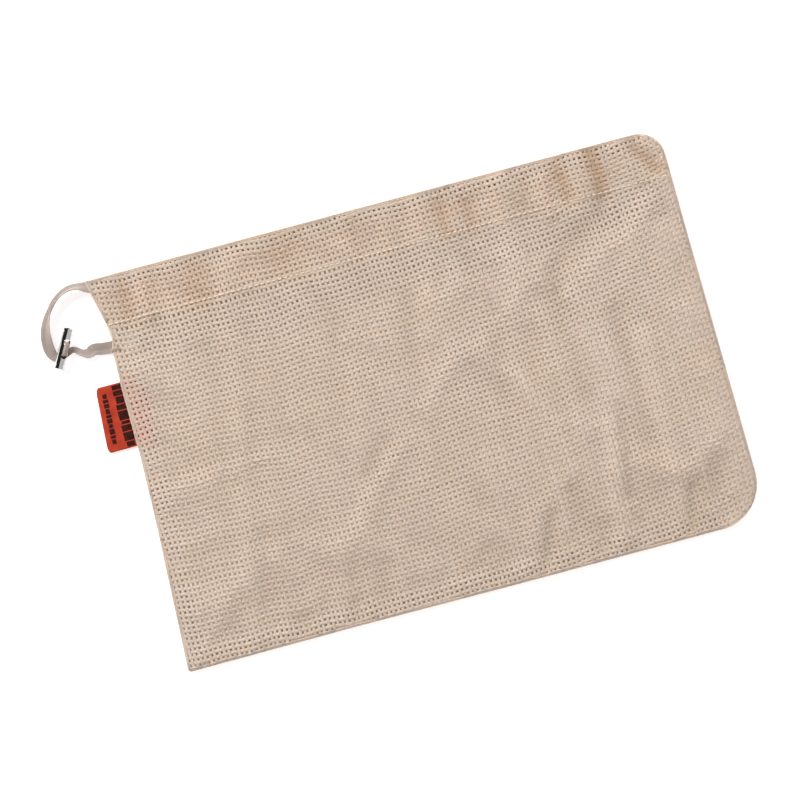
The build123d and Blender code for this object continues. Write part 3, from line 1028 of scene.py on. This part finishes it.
HEM_RIGHT = 151.0
HEM_INSET = 0.6  # from the slit's edge
BACK_CORNER = [(HEM_RIGHT, BACK_MOUTH_Y - 4.4), (HEM_RIGHT - 6, BACK_MOUTH_Y - 0.4)]
FRONT_CORNER = [(HEM_RIGHT, 89.0)] + arc((TOP_CORNER[0], TOP_CORNER[1], 12.7), 0, 88)


def hem_outline(low, high, corner):
    """The plan of a hem's inner layer, with the points of its upper right corner."""
    edge = np.array(SLIT_EDGE + SIDE_SEAM[:1])[::-1]
    left_high, left_low = (np.interp(y, edge[:, 1], edge[:, 0]) + HEM_INSET for y in (high, low))
    return np.array([(left_high, high), (left_low, low), (HEM_RIGHT, low)] + corner)


def hem_edge(stitch_y):
    """The folded lower edge of a hem's inner layer."""
    return [(-140.0, stitch_y - 1.5), (HEM_RIGHT, stitch_y - 1.5)]


front_facing = cloth_piece(
    "front_hem_mesh", weave_lines(hem_outline(STITCH_Y - 2.0, MOUTH_Y - 0.4, FRONT_CORNER), phase=(0.9, 1.2)),
    front_facing_height, "front_hem_facing", hem_edge(STITCH_Y), -1, cotton_kind=SHADED_HEM_COTTON,
)
back_facing = cloth_piece(
    "back_hem_mesh", weave_lines(hem_outline(BACK_STITCH_Y - 2.0, BACK_MOUTH_Y - 0.4, BACK_CORNER), phase=(0.4, 1.7)),
    back_facing_height, "back_hem_facing", hem_edge(BACK_STITCH_Y), 1, cotton_kind=SHADED_HEM_COTTON,
)


# ------------ seams
def seam_strip(chain, width):
    """The plan of a strip along the inside of a seam."""
    chain = np.array(chain, float)
    side = inward(chain)
    return np.vstack([chain + side * 0.5, (chain + side * width)[::-1]])


def seam_allowance(name, strip, replaced, phase):
    """Two leaves of mesh turned in along a seam, one on the other."""
    strands = Strands()
    for shift, level in ((0.0, SEAM_MID - 0.35), (0.8, SEAM_MID + 0.45)):
        warps, wefts = weave_lines(strip, phase=(phase + shift, phase * 0.5 + shift))
        lay_threads(strands, warps, leaf(level), (0.6, 0.2))
        lay_threads(strands, wefts, leaf(level), (0.6, 0.2))
    assign(strands.piece(name, SHADED_HEM_COTTON), "bag", "cotton_mesh", replaced)


side_chain = SIDE_SEAM[1:]
bottom_chain = [(-140.0, -103.9), (-60.0, -103.5), (30.0, -103.9), (136.0, -103.9)]
seam_allowance("side_seam_leaves", seam_strip(side_chain, SEAM_W), "side_seam_allowance", 0.3)
seam_allowance("bottom_seam_leaves", seam_strip(bottom_chain, SEAM_W), "bottom_seam_allowance", 0.7)


def overlock(name, chain, replaced):
    """A coil of sewing thread that wraps a seam's raw edge, with a needle line beside it."""
    pitch = 2.3
    steps = 10
    chain = np.array(chain, float)
    base = even_plan(chain + inward(chain) * (SEAM_W - 0.4), pitch / steps)
    side = inward(base)
    turn = np.arange(len(base)) * 2 * math.pi / steps
    plan = base + side * (np.cos(turn) * 1.9)[:, None]
    centres = np.column_stack([plan, SEAM_MID + 0.95 * np.sin(turn)])
    thread = Strands()
    thread.add(centres, np.column_stack([side * np.cos(turn)[:, None], np.sin(turn)]), lens((0.2, 0.2), 5))
    needle = base - side * 2.3
    wave = SEAM_MID + 0.85 + 0.12 * np.sin(turn / 2)
    thread.add(np.column_stack([needle, wave]), upright(len(base)), lens((0.22, 0.2), 5))
    assign(thread.piece(name, THREAD), "bag", "seam_thread", replaced)


overlock("side_seam_overlock", side_chain, "side_seam_stitching")
overlock("bottom_seam_overlock", bottom_chain, "bottom_seam_stitching")


def lock_stitches(name, y, height, replaced, left, right, lift):
    """A row of separate lockstitches, each dipping into the cloth at both ends."""
    pitch = 3.1
    thread = Strands()
    span = np.linspace(-1, 1, 7)
    for x in np.arange(left, right, pitch):
        slant = rng.uniform(-0.12, 0.12)
        plan = np.column_stack([x + span * (pitch * 0.44), y + slant * span])
        rise = lift * (1 - 1.9 * span**4)
        centres = np.column_stack([plan, height(plan) + rise])
        taper = np.sqrt(1.02 - span**2 * 0.75)
        section = lens((0.42, 0.24), 6)[None, :, :] * taper[:, None, None]
        thread.add(centres, upright(7), section)
    assign(thread.piece(name, THREAD), "bag", "seam_thread", replaced)


lock_stitches("front_hem_lockstitch", STITCH_Y + 1.8, front_height, "front_hem_stitching", -141.0, 154.0, 0.42)
lock_stitches("back_hem_lockstitch", BACK_STITCH_Y, back_facing_height, "back_hem_stitching", -141.0, 150.0, 0.5)


def bar_tack():
    """A dense zigzag of thread where the side seam stops below the slit."""
    count = 22
    zigzag = np.where(np.arange(count) % 2 == 0, -0.9, 0.9)
    plan = np.column_stack([np.linspace(-144.6, -139.0, count), 66.2 + zigzag])
    centres = np.column_stack([plan, front_height(plan) + 0.45])
    thread = Strands()
    thread.add(centres, upright(count), lens((0.22, 0.2), 5))
    assign(thread.piece("slit_bar_tack", THREAD), "bag", "seam_thread", "side_seam_bar_tack")


bar_tack()


def lap_stitches():
    """Bars of thread that join the tape's two ends inside the back hem."""
    low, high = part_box("drawstring_lap_stitching")
    centre_x = (low[0] + high[0]) / 2 / MM
    thread = Strands()
    for offset in (-4.5, -3.0, -1.5, 0.0, 1.5, 3.0, 4.5):
        ys = np.linspace(BACK_TAPE_Y - 2.4, BACK_TAPE_Y + 2.4, 9)
        centres = np.column_stack([np.full(9, centre_x + offset), ys, np.full(9, BACK_TAPE_Z + TAPE_T / 2)])
        thread.add(centres, upright(9), lens((0.2, 0.14), 5))
    assign(thread.piece("tape_lap_stitches", THREAD), "drawstring", "seam_thread", "drawstring_lap_stitching")


lap_stitches()


# ------------ label
TAG_ROOT_X = -143.6
TAG_OUTER = (-159.5, -157.3)  # x of the folded end at the label's low and high end
TAG_THICK = 0.62
SEWN_END_X = -138.4


def tag_height(x):
    """The label droops a little from the seam to the table side."""
    share = np.clip((TAG_ROOT_X - x) / 15.0, 0, 1)
    return 1.35 - 0.35 * share * share + 0.12 * np.sin(share * 5)


def tag_point(u, v):
    """A point in the label's plan: u from the seam (0) to the fold (1), v along the seam."""
    y_low, y_high = TAG_Y
    outer = TAG_OUTER[0] + (TAG_OUTER[1] - TAG_OUTER[0]) * v
    round_off = 1.3 * (np.abs(2 * v - 1) ** 14) * u
    x = TAG_ROOT_X + (outer + round_off - TAG_ROOT_X) * u
    y = y_low + (y_high - y_low) * v + 0.25 * np.sin(math.pi * v) * (1 - u)
    return x, y


def make_label():
    """A folded ribbon: a top and an under layer joined by a fold at the outer end."""
    across = 26
    along = 44
    verts = []
    faces = []
    us = np.linspace(0, 1, across)
    ring = [(u, 1) for u in us] + [(1.012, 0.6), (1.02, 0.0), (1.012, -0.6)] + [(u, -1) for u in us[::-1]]
    inner = [(u, -0.25) for u in us] + [(u, 0.25) for u in us[::-1]]
    profile = ring + inner
    size = len(profile)
    for j in range(along):
        v = j / (along - 1)
        for u, side in profile:
            x, y = tag_point(min(u, 1.0), v)
            x -= max(u - 1.0, 0) * 14
            selvedge = 1 + 0.12 * (v < 0.03 or v > 0.97)
            z = tag_height(x) + side * TAG_THICK / 2 * selvedge
            verts.append((x, y, z))
    for j in range(along - 1):
        for k in range(size):
            a = j * size + k
            b = j * size + (k + 1) % size
            faces.append((a, b, b + size, a + size))
    top = len(ring)
    for end in (0, (along - 1) * size):
        under = end + across + 3
        inner_end = end + top + across - 1
        caps = []
        for k in range(across - 1):
            caps.append((end + k, end + k + 1, inner_end + across - 1 - k, inner_end + across - k))
            caps.append((under + k, under + k + 1, inner_end - 1 - k, inner_end - k))
        caps.append((*range(end + across - 1, end + across + 4), inner_end, inner_end + 1))
        faces += caps if end else [cap[::-1] for cap in caps]
    piece = new_piece("side_label", np.array(verts), faces, RED)
    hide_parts("tag_label")
    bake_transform(piece)


make_label()


def make_print():
    """Two rows of plain woven blocks on the label: no lettering."""
    rows = (
        (0.74, 2.7, 0.55, [2.4, 1.5, 2.9, 1.9, 2.3, 1.4, 2.6, 2.1, 1.7, 2.3]),
        (0.22, 5.4, 0.55, [2.6, 4.4, 3.2, 1.6, 4.8, 2.8, 3.6, 2.6, 2.4]),
    )
    marks = Strands()
    for u, width, gap, lengths in rows:
        room = TAG_Y[1] - TAG_Y[0]
        y = TAG_Y[0] + (room - sum(lengths) - gap * (len(lengths) - 1)) / 2
        for index, length in enumerate(lengths):
            v = (y + length / 2 - TAG_Y[0]) / room
            x, _ = tag_point(u, v)
            half = width / 2 * (1.0 if index % 3 else 0.78)
            xs = np.linspace(x - half, x + half, 6)
            centres = np.column_stack([xs, np.full(6, y + length / 2), tag_height(xs) + TAG_THICK / 2 + 0.03])
            corner = length / 2
            section = [(corner, -0.05), (corner, 0.03), (corner - 0.1, 0.06)]
            section += [(-side, up) for side, up in section[::-1]]
            marks.add(centres, upright(6), section)
            y += length + gap
    piece = marks.piece("label_marks", INK)
    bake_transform(piece)
    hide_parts("tag_print")


make_print()


def make_sewn_end():
    """The label's two ends between the seam's leaves, seen faintly through the mesh."""
    ribbon = Strands()
    for above in (True, False):
        ys = np.linspace(TAG_Y[0] + 0.2, TAG_Y[1] - 0.2, 24)
        plan = np.column_stack([np.full(24, SEWN_END_X), ys])
        level = front_height(plan) - 0.5 if above else back_height(plan) + 0.75
        centres = np.column_stack([plan, level])
        ribbon.add(centres, upright(24), tape_section(10.6, 0.26, ribs=5))
    assign(ribbon.piece("label_sewn_end", RED), "bag", "label_ribbon", "tag_sewn_end")


make_sewn_end()

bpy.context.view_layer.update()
